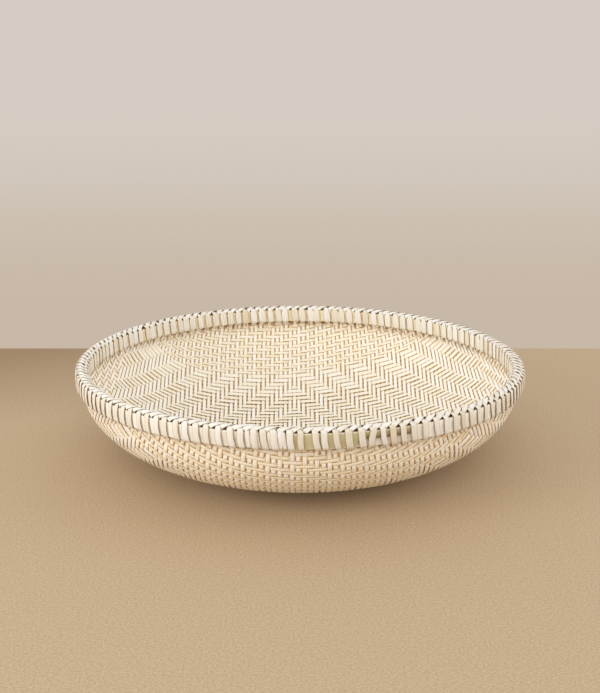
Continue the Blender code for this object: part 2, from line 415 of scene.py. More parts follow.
@dataclass
class StripSweep:
    """Sweeps a flat, slightly crowned strip along paths with a Geometry Nodes tree.

    Attributes:
        sides: points round the strip's section.
        inputs: the tree's number inputs and their usual values.
        tree: the tree, which is built once.
        sockets: for each input's name, the key that sets it.
    """

    sides: int = 8
    inputs: tuple[tuple[str, float], ...] = (
        ("Width", 5 * MM),
        ("Thickness", 0.8 * MM),
        ("Edge Fullness", 0.5),
        ("Crown Fullness", 0.6),
    )
    tree: bpy.types.NodeTree = field(init=False)
    sockets: dict[str, str] = field(init=False, default_factory=dict)

    def __post_init__(self) -> None:
        """Builds the tree: path to curve, profile, sweep, material."""
        self.tree = bpy.data.node_groups.new("strip_sweep", "GeometryNodeTree")
        tree = self.tree
        tree.interface.new_socket("Geometry", in_out="INPUT", socket_type="NodeSocketGeometry")
        for name, value in self.inputs:
            socket = tree.interface.new_socket(name, in_out="INPUT", socket_type="NodeSocketFloat")
            socket.default_value = value
            self.sockets[name] = socket.identifier
        socket = tree.interface.new_socket("Material", in_out="INPUT", socket_type="NodeSocketMaterial")
        self.sockets["Material"] = socket.identifier
        tree.interface.new_socket("Geometry", in_out="OUTPUT", socket_type="NodeSocketGeometry")
        given = add_node(tree, "NodeGroupInput")

        curve = add_node(tree, "GeometryNodeMeshToCurve", {"Mesh": given.outputs["Geometry"]})
        face, girth = (
            add_node(tree, "GeometryNodeInputNamedAttribute", {"Name": trait.value}, data_type=kind)
            for trait, kind in ((Trait.FACE, "FLOAT_VECTOR"), (Trait.GIRTH, "FLOAT"))
        )
        faced = add_node(tree, "GeometryNodeSetCurveNormal", {"Curve": curve, "Normal": face}, mode="FREE")
        circle = {"Resolution": self.sides, "Radius": 1.0}
        profile = add_node(tree, "GeometryNodeCurvePrimitiveCircle", circle, mode="RADIUS")
        spot = add_node(tree, "GeometryNodeInputPosition")
        parts = add_node(tree, "ShaderNodeSeparateXYZ", {0: spot}).outputs
        lengths = {}
        for axis, trait, fullness, size in (
            (1, Trait.ACROSS, "Edge Fullness", "Width"),
            (0, Trait.SIDE, "Crown Fullness", "Thickness"),
        ):
            amount = add_node(tree, "ShaderNodeMath", {0: parts[axis]}, operation="ABSOLUTE")
            raised = add_node(
                tree, "ShaderNodeMath", {0: amount, 1: given.outputs[fullness]}, operation="POWER"
            )
            sign = add_node(tree, "ShaderNodeMath", {0: parts[axis]}, operation="SIGN")
            share = add_node(tree, "ShaderNodeMath", {0: raised, 1: sign}, operation="MULTIPLY")
            half = add_node(tree, "ShaderNodeMath", {0: given.outputs[size], 1: 0.5}, operation="MULTIPLY")
            lengths[axis] = add_node(tree, "ShaderNodeMath", {0: share, 1: half}, operation="MULTIPLY")
            profile = add_node(
                tree,
                "GeometryNodeStoreNamedAttribute",
                {"Geometry": profile, "Name": trait.value, "Value": share},
                data_type="FLOAT",
                domain="POINT",
            )
        corner = add_node(tree, "ShaderNodeCombineXYZ", lengths)
        shaped = add_node(tree, "GeometryNodeSetPosition", {"Geometry": profile, "Position": corner})
        swept = add_node(
            tree,
            "GeometryNodeCurveToMesh",
            {"Curve": faced, "Profile Curve": shaped, "Scale": girth, "Fill Caps": True},
        )
        smooth = add_node(tree, "GeometryNodeSetShadeSmooth", {"Geometry": swept, "Shade Smooth": True})
        real = add_node(tree, "GeometryNodeRealizeInstances", {"Geometry": smooth})
        dressed = add_node(
            tree, "GeometryNodeSetMaterial", {"Geometry": real, "Material": given.outputs["Material"]}
        )
        add_node(tree, "NodeGroupOutput", {0: dressed})

    def lay(
        self, name: str, paths: list[StripPath], width: float, thickness: float, material: bpy.types.Material
    ) -> bpy.types.Object:
        """Makes one piece of the strips along some paths.

        Args:
            name: the piece's name.
            paths: the strips' paths.
            width: the strips' width.
            thickness: the strips' thickness.
            material: their finish.

        Returns:
            The piece, a plain mesh with the strips' traits on its points.
        """
        guide = path_mesh(f"{name}_paths", paths)
        holder = bpy.data.objects.new(f"{name}_paths", guide)
        bpy.context.scene.collection.objects.link(holder)
        sweep = holder.modifiers.new("sweep", "NODES")
        sweep.node_group = self.tree
        sweep[self.sockets["Width"]] = width
        sweep[self.sockets["Thickness"]] = thickness
        sweep[self.sockets["Material"]] = material
        evaluated = holder.evaluated_get(bpy.context.evaluated_depsgraph_get())
        mesh = bpy.data.meshes.new_from_object(evaluated)
        bpy.data.objects.remove(holder)
        bpy.data.meshes.remove(guide)
        return new_piece(name, mesh)


def store_trait(mesh: bpy.types.Mesh, trait: Trait, values: np.ndarray) -> None:
    """Stores a trait on a mesh's points.

    Args:
        mesh: the mesh.
        trait: the trait.
        values: one number for each point, or for the facing direction one row of x, y, z.
    """
    kind, item = ("FLOAT_VECTOR", "vector") if trait is Trait.FACE else ("FLOAT", "value")
    layer = mesh.attributes.new(trait.value, kind, "POINT")
    layer.data.foreach_set(item, values.astype(np.float32).ravel())


def path_mesh(name: str, paths: list[StripPath]) -> bpy.types.Mesh:
    """Joins paths into one mesh of edges whose points carry the traits.

    Args:
        name: the mesh's name.
        paths: the paths to join.

    Returns:
        The mesh.
    """
    points = np.concatenate([path.points for path in paths])
    starts = np.cumsum([0] + [len(path.points) for path in paths])
    edges = [
        np.stack([np.arange(start, end - 1), np.arange(start + 1, end)], axis=1)
        for start, end in zip(starts[:-1], starts[1:])
    ]
    mesh = bpy.data.meshes.new(name)
    mesh.from_pydata(points.tolist(), np.concatenate(edges).tolist(), [])
    store_trait(mesh, Trait.ALONG, np.concatenate([path.along() for path in paths]))
    for trait in (Trait.SHADE, Trait.GIRTH, Trait.LIFT, Trait.GAP):
        values = [np.broadcast_to(getattr(path, trait.value), len(path.points)) for path in paths]
        store_trait(mesh, trait, np.concatenate(values))
    store_trait(mesh, Trait.FACE, np.concatenate([path.upright_faces() for path in paths]))
    return mesh


def new_piece(name: str, mesh: bpy.types.Mesh) -> bpy.types.Object:
    """Links a finished mesh as a piece that stands at the origin and rides on the basket's body.

    Args:
        name: the piece's name.
        mesh: its mesh.

    Returns:
        The piece.
    """
    mesh.name = name
    piece = bpy.data.objects.new(name, mesh)
    bpy.context.scene.collection.objects.link(piece)
    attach(piece, BODY)
    LOG.info("%s: %d points, %d faces", name, len(mesh.vertices), len(mesh.polygons))
    return piece


def loft(name: str, rings: np.ndarray, traits: dict[Trait, np.ndarray]) -> bpy.types.Mesh:
    """Joins equal rings of points into a closed solid with a cap at either end.

    Args:
        name: the mesh's name.
        rings: rings by points by x, y, z.
        traits: for each trait, its value for each ring and point.

    Returns:
        The mesh, shaded smooth except at its sharp edges.
    """
    count, sides = rings.shape[:2]
    faces = []
    for ring in range(count - 1):
        for side in range(sides):
            following = (side + 1) % sides
            near, far = ring * sides, (ring + 1) * sides
            faces.append((near + side, far + side, far + following, near + following))
    faces.append(tuple(range(sides)))
    faces.append(tuple(range(count * sides - 1, (count - 1) * sides - 1, -1)))
    mesh = bpy.data.meshes.new(name)
    mesh.from_pydata(rings.reshape(-1, 3).tolist(), [], faces)
    for trait, values in traits.items():
        store_trait(mesh, trait, values)
    mesh.shade_smooth()
    mesh.set_sharp_from_angle(angle=math.radians(SHARP_DEGREES))
    return mesh


def round_axis(radius: float, angle: float, height: float) -> tuple[float, float, float]:
    """The point at a radius and an angle round the basket's axis, at some height."""
    return (radius * math.cos(angle), radius * math.sin(angle), height)


def eased(value: np.ndarray, start: float, end: float) -> np.ndarray:
    """Rises smoothly from 0 at the start to 1 at the end, and stays level outside them."""
    share = np.clip((value - start) / (end - start), 0, 1)
    return share**2 * (3 - 2 * share)


@dataclass
class RimSizes:
    """The rim's measures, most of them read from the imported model.

    Attributes:
        outside: outer radius of the outer hoop.
        inside: inner radius of the inner hoop.
        outer_hoop_inside: inner radius of the outer hoop.
        bottom: height of the hoops' underside.
        top: height of their upper edge.
        core_top: height of the core's upper edge.
        hoop_thickness: thickness of a packed hoop.
        shown_thickness: thickness of the band that stands for it.
        clearance: gap left between pieces that lie on each other.
    """

    outside: float
    inside: float
    outer_hoop_inside: float
    bottom: float
    top: float
    core_top: float
    hoop_thickness: float = 3.4 * MM
    shown_thickness: float = 2.4 * MM
    clearance: float = 0.3 * MM

    @classmethod
    def from_frame(cls) -> "RimSizes":
        """Reads the measures from the boxes of the hoops and the core.

        Returns:
            The measures.
        """
        low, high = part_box("outer_hoop")
        return cls(
            outside=high.x,
            inside=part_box("inner_hoop")[1].x - cls.hoop_thickness,
            outer_hoop_inside=high.x - cls.hoop_thickness,
            bottom=low.z,
            top=high.z,
            core_top=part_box("rim_core")[1].z,
        )

    @property
    def middle(self) -> float:
        """The radius halfway through the rim."""
        return (self.outside + self.inside) / 2


@dataclass
class BowlSurface:
    """The middle surface of the mat: a flat base, a smooth rise and an upright edge.

    Attributes:
        rim: the rim that holds the mat's edge.
        base_radius: radius of the flat base.
        fullness: power that makes the wall's curve fuller than a quarter ellipse.
        mat_thickness: thickness of the mat between the hoops.
        edge_recess: how far the mat's edge stays under the hoops' top.
        spread: how much further apart front-to-back splints lie towards the back, for each square metre.
        crowding: share by which left-to-right splints lie closer together at the sides.
        crowd_span: distances from the axis between which they close up.
        anchor: distance behind the axis of the line that they close up to.
        skew: slope at which the left-to-right splints climb towards the right where they climb most.
        skew_centre: how far right of the axis that is.
        skew_reach: distance over which that slope fades, as an angle of one radian.
        skew_ends: angles beyond which it has faded, to the left and to the right.
        skew_start: angle left of the centre at which a splint keeps its height.
        held_span: distances behind the axis between which the closing up and the climb set in.
        steps: steps of the curve's table.
    """

    rim: RimSizes
    base_radius: float = 60 * MM
    fullness: float = 0.91
    mat_thickness: float = 2.0 * MM
    edge_recess: float = 0.8 * MM
    spread: float = 3.6
    crowding: float = 0.22
    crowd_span: tuple[float, float] = (30 * MM, 150 * MM)
    anchor: float = 95 * MM
    skew: float = 0.15
    skew_centre: float = 25 * MM
    skew_reach: float = 76 * MM
    skew_ends: tuple[float, float] = (-2.8, 2.3)
    skew_start: float = 0.4
    held_span: tuple[float, float] = (-200 * MM, 60 * MM)
    steps: int = 1500

    def __post_init__(self) -> None:
        """Works out the table of the wall's curve."""
        edge = self.rim.outer_hoop_inside - self.rim.clearance
        turn = np.linspace(0, np.pi / 2, self.steps)
        radius = self.base_radius + (edge - self.base_radius) * np.sin(turn) ** self.fullness
        height = self.rim.bottom * (1 - np.cos(turn))
        radius = np.concatenate([[0.0], radius, [edge]])
        height = np.concatenate([[0.0], height, [self.rim.top - self.edge_recess]])
        run_radius = np.gradient(radius)
        run_height = np.gradient(height)
        length = np.hypot(run_radius, run_height)
        self.rise = run_height / length
        self.flat = run_radius / length
        self.radius = np.maximum(radius - self.rise * self.mat_thickness / 2, 0.0)
        self.height = height + self.flat * self.mat_thickness / 2
        steps = np.hypot(np.diff(self.radius), np.diff(self.height))
        self.arc = np.concatenate([[0.0], np.cumsum(steps)])

    @property
    def reach(self) -> float:
        """The way along the surface from the middle to the mat's edge."""
        return float(self.arc[-1])

    def bend(self, across: np.ndarray, back: np.ndarray) -> tuple[np.ndarray, np.ndarray]:
        """Skews and closes up the flat net as the maker's hands did.

        Args:
            across: the places' distance to the right in the flat net.
            back: their distance to the back.

        Returns:
            The ways along the surface to the right and to the back.
        """
        held = eased(back, *self.held_span)
        crowd = self.crowding * eased(np.abs(across), *self.crowd_span)
        turned = np.clip((across - self.skew_centre) / self.skew_reach, *self.skew_ends)
        climb = self.skew * self.skew_reach * (np.sin(turned) + math.sin(self.skew_start))
        wide = across * (1 + self.spread * back**2)
        deep = back + held * (climb - crowd * (back - self.anchor))
        return wide, deep

    def distance(self, across: np.ndarray, back: np.ndarray) -> np.ndarray:
        """The way along the surface from the middle to places given in the flat net."""
        return np.hypot(*self.bend(across, back))

    def nearness(self, across: np.ndarray, back: np.ndarray, is_column: bool) -> np.ndarray:
        """Measures how far apart neighbours of one family lie on the bowl.

        Args:
            across: the places' distance to the right in the flat net.
            back: their distance to the back.
            is_column: whether the family runs front to back.

        Returns:
            The spacing at each place as a multiple of the flat spacing.
        """
        step = 1 * MM
        aside, behind = (step, 0.0) if is_column else (0.0, step)
        far = self.place(across + aside, back + behind)[0]
        near = self.place(across - aside, back - behind)[0]
        return np.linalg.norm(far - near, axis=1) / (2 * step)

    def place(self, across: np.ndarray, back: np.ndarray) -> tuple[np.ndarray, np.ndarray]:
        """Lays places of the flat net on the bowl.

        Args:
            across: the places' distance to the right in the flat net.
            back: their distance to the back.

        Returns:
            The points, and the direction into the bowl at each.
        """
        wide, deep = self.bend(across, back)
        way = np.hypot(wide, deep)
        angle = np.arctan2(deep, wide)
        radius, height, rise, flat = (
            np.interp(way, self.arc, table) for table in (self.radius, self.height, self.rise, self.flat)
        )
        points = np.stack([radius * np.cos(angle), radius * np.sin(angle), height], axis=1)
        inward = np.stack([-rise * np.cos(angle), -rise * np.sin(angle), flat], axis=1)
        return points, inward


@dataclass(frozen=True)
class Splint:
    """One splint of the mat before it is bent.

    Attributes:
        place: its distance from the middle of the flat net.
        number: its count from the middle, or within its edge zone.
        side: -1 or 1 for the side of the middle that it lies on, 0 for the middle one.
        fine: whether it is one of the finer splints of an edge zone.
    """

    place: float
    number: int
    side: int
    fine: bool


@dataclass
class TwillMat:
    """The woven mat: two families of splints in a twill of concentric diamonds, finer towards the rim.

    Attributes:
        surface: the bowl that the splints lie on.
        sweep: the tool that makes the strips.
        column_pitch: from one front-to-back splint to the next.
        column_width: width of a front-to-back splint.
        row_pitch: from one left-to-right splint to the next.
        row_width: width of a left-to-right splint.
        fine_pitch: from one fine splint to the next, in the edge zones.
        fine_width: width of a fine splint.
        thickness: of every splint.
        column_centre: how far right of the bowl's axis the twill's middle front-to-back splint lies.
        row_centre: how far behind the bowl's axis the twill's middle left-to-right splint lies.
        main_columns: numbers of the first and last front-to-back splint before the edge zones.
        main_rows: numbers of the first and last left-to-right splint before the edge zones.
        even_reach: distance from the bowl's axis beyond which the splints are driven closer together.
        column_closeness: the front-to-back ones' spacing there, as a share of their spacing in the middle.
        row_closeness: the left-to-right ones' spacing there, likewise.
        unevenness: how far the splints stray from their even places, as a share of their spacing.
        fine_count: splints in an edge zone.
        repeat: crossings after which the twill repeats.
        over: crossings that a splint floats over in each repeat.
        step: crossings by which a fine splint's floats lie beside its neighbour's.
        held_share: share of a crossed splint's width, to each side of its middle, where this one is level.
        fine_gap: the gap trait beside a fine splint, where that of a full gap is 1.
        girths: the least and the most girth of a splint where its neighbours crowd or spread.
        shortest: fine spacings below which a splint is too short to be held.
        search: how far out a splint's ends are looked for, as a multiple of the mat's reach.
        search_steps: steps of that search.
        column_shades: palest and deepest tint of the front-to-back splints.
        row_shades: those of the left-to-right ones.
        fine_row_shades: those of the fine left-to-right ones.
        seed: for the splints' own tints and places.
    """

    surface: BowlSurface
    sweep: StripSweep
    column_pitch: float = 4.5 * MM
    column_width: float = 3.6 * MM
    row_pitch: float = 7.7 * MM
    row_width: float = 6.2 * MM
    fine_pitch: float = 3.85 * MM
    fine_width: float = 3.5 * MM
    thickness: float = 0.6 * MM
    column_centre: float = -5.5 * MM
    row_centre: float = 15.2 * MM
    main_columns: tuple[int, int] = (-41, 44)
    main_rows: tuple[int, int] = (-24, 20)
    even_reach: float = 131 * MM
    column_closeness: float = 0.94
    row_closeness: float = 0.83
    unevenness: float = 0.035
    fine_count: int = 22
    repeat: int = 6
    over: int = 3
    step: int = 2
    held_share: float = 0.36
    fine_gap: float = 0.45
    girths: tuple[float, float] = (0.55, 1.1)
    shortest: int = 6
    search: float = 1.3
    search_steps: int = 4000
    column_shades: tuple[float, float] = (0.0, 0.5)
    row_shades: tuple[float, float] = (0.1, 0.7)
    fine_row_shades: tuple[float, float] = (0.4, 1.0)
    seed: int = 7

    def family(self, is_column: bool, random: np.random.Generator) -> list[Splint]:
        """Lists one family of splints.

        Args:
            is_column: whether the family runs front to back.
            random: where the splints' differences come from.

        Returns:
            The splints, from one side of the mat to the other.
        """
        centre, pitch, main, closeness = (
            (self.column_centre, self.column_pitch, self.main_columns, self.column_closeness)
            if is_column
            else (self.row_centre, self.row_pitch, self.main_rows, self.row_closeness)
        )
        first, last = main
        splints = []
        for number in range(first, last + 1):
            place = self.closed(centre + number * pitch, closeness)
            place += float(random.normal(0, self.unevenness * pitch))
            splints.append(Splint(place, number, int(np.sign(number)), False))
        edges = [self.closed(centre + number * pitch, closeness) for number in (first - 0.5, last + 0.5)]
        for side, edge in zip((-1, 1), edges):
            for number in range(self.fine_count):
                place = edge + side * (number + 0.5) * self.fine_pitch
                place += float(random.normal(0, self.unevenness * self.fine_pitch))
                splints.append(Splint(place, number, side, True))
        return sorted(splints, key=lambda splint: splint.place)

    def closed(self, place: float, closeness: float) -> float:
        """A splint's place once the splints beyond the even middle are driven closer together."""
        beyond = max(abs(place) - self.even_reach, 0.0)
        return math.copysign(abs(place) - beyond * (1 - closeness), place)

    def column_is_over(self, column: Splint, row: Splint) -> bool:
        """Tells which splint lies over at a crossing, seen from inside the bowl.

        Args:
            column: the front-to-back splint.
            row: the left-to-right splint.

        Returns:
            Whether the front-to-back one lies over.
        """
        if row.fine:
            return (row.side * column.number - self.step * row.number) % self.repeat >= self.over
        if column.fine:
            return (-column.side * row.number - self.step * column.number) % self.repeat < self.over
        return (abs(column.number) + abs(row.number)) % self.repeat < self.over

    def splint_path(
        self, splint: Splint, crossed: list[Splint], is_column: bool, shade: float
    ) -> StripPath | None:
        """Leads one splint over and under those that it crosses.

        Args:
            splint: the splint.
            crossed: the other family.
            is_column: whether the splint runs front to back.
            shade: its tint.

        Returns:
            The path, or nothing where the splint would be too short to be held.
        """
        first, last = self.ends(splint, is_column)
        if last - first < self.shortest * self.fine_pitch:
            return None
        margin = self.fine_pitch / 2
        ways, lifts, gaps = [first], [0.0], [0.0]
        for other in crossed:
            if not first + margin < other.place < last - margin:
                continue
            column, row = (splint, other) if is_column else (other, splint)
            over = self.column_is_over(column, row) == is_column
            width = self.fine_width if other.fine else (self.row_width if is_column else self.column_width)
            level = 1.0 if over else -1.0
            held = width * self.held_share
            begin, end = other.place - held, other.place + held
            if len(ways) > 1:
                ways.append((ways[-1] + begin) / 2)
                lifts.append((lifts[-1] + level) / 2)
                gaps.append(self.fine_gap if other.fine or splint.fine else 1.0)
            ways += [begin, end]
            lifts += [level, level]
            gaps += [0.0, 0.0]
        ways.append(last)
        lifts.append(0.0)
        gaps.append(0.0)
        way, lift = np.array(ways), np.array(lifts)
        fixed = np.full(len(ways), splint.place)
        across, back = (fixed, way) if is_column else (way, fixed)
        points, inward = self.surface.place(across, back)
        girth = np.clip(self.surface.nearness(across, back, is_column), *self.girths)
        middle = points + inward * (self.thickness / 2 * lift)[:, None]
        return StripPath(middle, inward, shade, girth, lift, np.array(gaps))

    def ends(self, splint: Splint, is_column: bool) -> tuple[float, float]:
        """Finds where along its own line a splint meets the mat's edge.

        Args:
            splint: the splint.
            is_column: whether it runs front to back.

        Returns:
            Its two ends' distances from the middle, or twice 0 where it misses the mat.
        """
        limit = self.search * self.surface.reach
        ways = np.linspace(-limit, limit, self.search_steps)
        fixed = np.full(len(ways), splint.place)
        far = self.surface.distance(fixed, ways) if is_column else self.surface.distance(ways, fixed)
        held = ways[far < self.surface.reach]
        return (float(held[0]), float(held[-1])) if len(held) else (0.0, 0.0)

    def build(self, material: bpy.types.Material) -> None:
        """Weaves the mat.

        Args:
            material: the splints' finish.
        """
        random = np.random.default_rng(self.seed)
        columns = self.family(True, random)
        rows = self.family(False, random)
        groups: dict[str, list[StripPath]] = {}
        widths: dict[str, float] = {}
        for is_column, splints, crossed, side_names, width in (
            (True, columns, rows, ("left", "right"), self.column_width),
            (False, rows, columns, ("front", "back"), self.row_width),
        ):
            for splint in splints:
                row_shades = self.fine_row_shades if splint.fine else self.row_shades
                shade = float(random.uniform(*(self.column_shades if is_column else row_shades)))
                path = self.splint_path(splint, crossed, is_column, shade)
                if path is None:
                    continue
                kind = "fine" if splint.fine else ("columns" if is_column else "rows")
                name = f"splints_{kind}_{side_names[splint.side >= 0]}"
                groups.setdefault(name, []).append(path)
                widths[name] = self.fine_width if splint.fine else width
        for name, paths in groups.items():
            piece = self.sweep.lay(name, paths, widths[name], self.thickness, material)
            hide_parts("woven_mat")


@dataclass
class Hoop:
    """A band of split bamboo bent into a hoop, its two tapered ends lying one over the other.

    Attributes:
        name: the piece's name.
        node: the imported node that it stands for.
        inside: inner radius.
        rim: the rim's measures.
        scarf_start: where the inner end starts, in degrees from +X.
        scarf_length: how long the two ends lie over each other.
        tip: thickness of an end's tip.
        tail_share: share of the scarf after which the outer end's lower half is cut away.
        rounding: radius of the band's edges.
        rounding_share: the most that is, as a share of the band's thickness.
        corner_points: points round each edge.
        steps: steps round the rim.
        tint: tint of the band, from pale, 0, to deep, 1.
        waves: size, number round the rim and phase of the waves in which the tint varies.
        level_lift: the lift trait where no painted shade shows.
        shadow_foot: how far up the section, from -1 to 1, the shadow under the cut tail reaches.
    """

    name: str
    node: str
    inside: float
    rim: RimSizes
    scarf_start: float
    scarf_length: float = 125 * MM
    tip: float = 0.6 * MM
    tail_share: float = 0.65
    rounding: float = 0.7 * MM
    rounding_share: float = 0.33
    corner_points: int = 4
    steps: int = 360
    tint: float = 0.35
    waves: tuple[tuple[float, int, float], ...] = ((0.2, 3, 1.0), (0.1, 7, 2.0))
    level_lift: float = 0.2
    shadow_foot: float = -0.9

    def section(
        self, inner: float, outer: float, bottom: float, top: float
    ) -> tuple[np.ndarray, np.ndarray]:
        """Draws the band's section.

        Args:
            inner: radius of its inner face.
            outer: radius of its outer face.
            bottom: height of its lower edge.
            top: height of its upper edge.

        Returns:
            Radius and height of the points round it, and how far up each lies, from -1 to 1.
        """
        edge = min(self.rounding, (outer - inner) * self.rounding_share)
        corners = (
            (inner + edge, bottom + edge, 180, 270),
            (outer - edge, bottom + edge, 270, 360),
            (outer - edge, top - edge, 0, 90),
            (inner + edge, top - edge, 90, 180),
        )
        points = []
        for radius, height, start, end in corners:
            for turn in np.radians(np.linspace(start, end, self.corner_points)):
                points.append((radius + edge * math.cos(turn), height + edge * math.sin(turn)))
        section = np.array(points)
        across = (section[:, 1] - (bottom + top) / 2) / ((top - bottom) / 2)
        return section, across

    def shades(self, angle: np.ndarray) -> np.ndarray:
        """The tint round the hoop, from pale to the deep colour of the skin."""
        return self.tint + sum(size * np.sin(angle * count + phase) for size, count, phase in self.waves)

    def build(self, material: bpy.types.Material) -> bpy.types.Object:
        """Builds the hoop.

        Args:
            material: its finish.

        Returns:
            The piece.
        """
        outside = self.inside + self.rim.shown_thickness
        step = 2 * math.pi / self.steps
        overlap = round(self.scarf_length / outside / step)
        taper = self.rim.shown_thickness - 2 * self.tip - self.rim.clearance
        rings, across, angles, shadows = [], [], [], []
        for i in range(self.steps + overlap + 1):
            inner, outer, bottom = self.inside, outside, self.rim.bottom
            if i <= overlap:
                outer = self.inside + self.tip + taper * i / overlap
            if i >= self.steps:
                share = (i - self.steps) / overlap
                inner = self.inside + self.tip + self.rim.clearance + taper * share
                if share >= self.tail_share:
                    bottom += (self.rim.top - self.rim.bottom) / 2
            section, up = self.section(inner, outer, bottom, self.rim.top)
            is_cut = bottom > self.rim.bottom
            # Painted shadow under the cut tail: a low lift there takes the finish's painted shade colour.
            shadows.append(np.where((up < self.shadow_foot) & is_cut, -1.0, 0.0))
            angle = math.radians(self.scarf_start) + i * step
            rings.append([round_axis(radius, angle, height) for radius, height in section])
            across.append(up)
            angles.append(angle)
        spots = np.array(angles)[:, None] * np.ones(len(across[0]))
        traits = {
            Trait.ALONG: spots * outside,
            Trait.ACROSS: np.array(across),
            Trait.SHADE: self.shades(spots),
            Trait.LIFT: np.array(shadows) + self.level_lift,
            Trait.SIDE: np.ones(spots.shape),
        }
        mesh = loft(self.name, np.array(rings), traits)
        mesh.materials.append(material)
        piece = new_piece(self.name, mesh)
        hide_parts(self.node)
        return piece


@dataclass
class SkinHoop(Hoop):
    """The outer hoop, whose khaki skin shows where the last of the band was laid over the first.

    Attributes:
        skin_from: where the khaki begins, in degrees from +X.
        skin_to: where it ends.
        fade: degrees over which the band grows khaki before that.
        faded: the tint that it gains over them.
        first_tint: tint of the end that lies under.
        tint: as in Hoop.
        waves: as in Hoop.
    """

    skin_from: float = -96.0
    skin_to: float = -64.0
    fade: float = 22.0
    faded: float = 0.7
    first_tint: float = 0.05
    tint: float = 0.12
    waves: tuple[tuple[float, int, float], ...] = ((0.08, 9, 0.0),)

    def shades(self, angle: np.ndarray) -> np.ndarray:
        """Gives the tint round the hoop, deepest along the end that was laid over.

        Args:
            angle: angles from +X, which run past a full turn where the ends lie over each other.

        Returns:
            The tint at each.
        """
        turned = np.degrees(angle)
        start, end = self.skin_from + 360, self.skin_to + 360
        before = np.clip(1 - (start - turned) / self.fade, 0, 1)
        base = super().shades(angle) + self.faded * before**2
        first = turned < self.skin_to
        last = (turned > start) & (turned < end)
        return np.where(last, 1.0, np.where(first, self.first_tint, base))


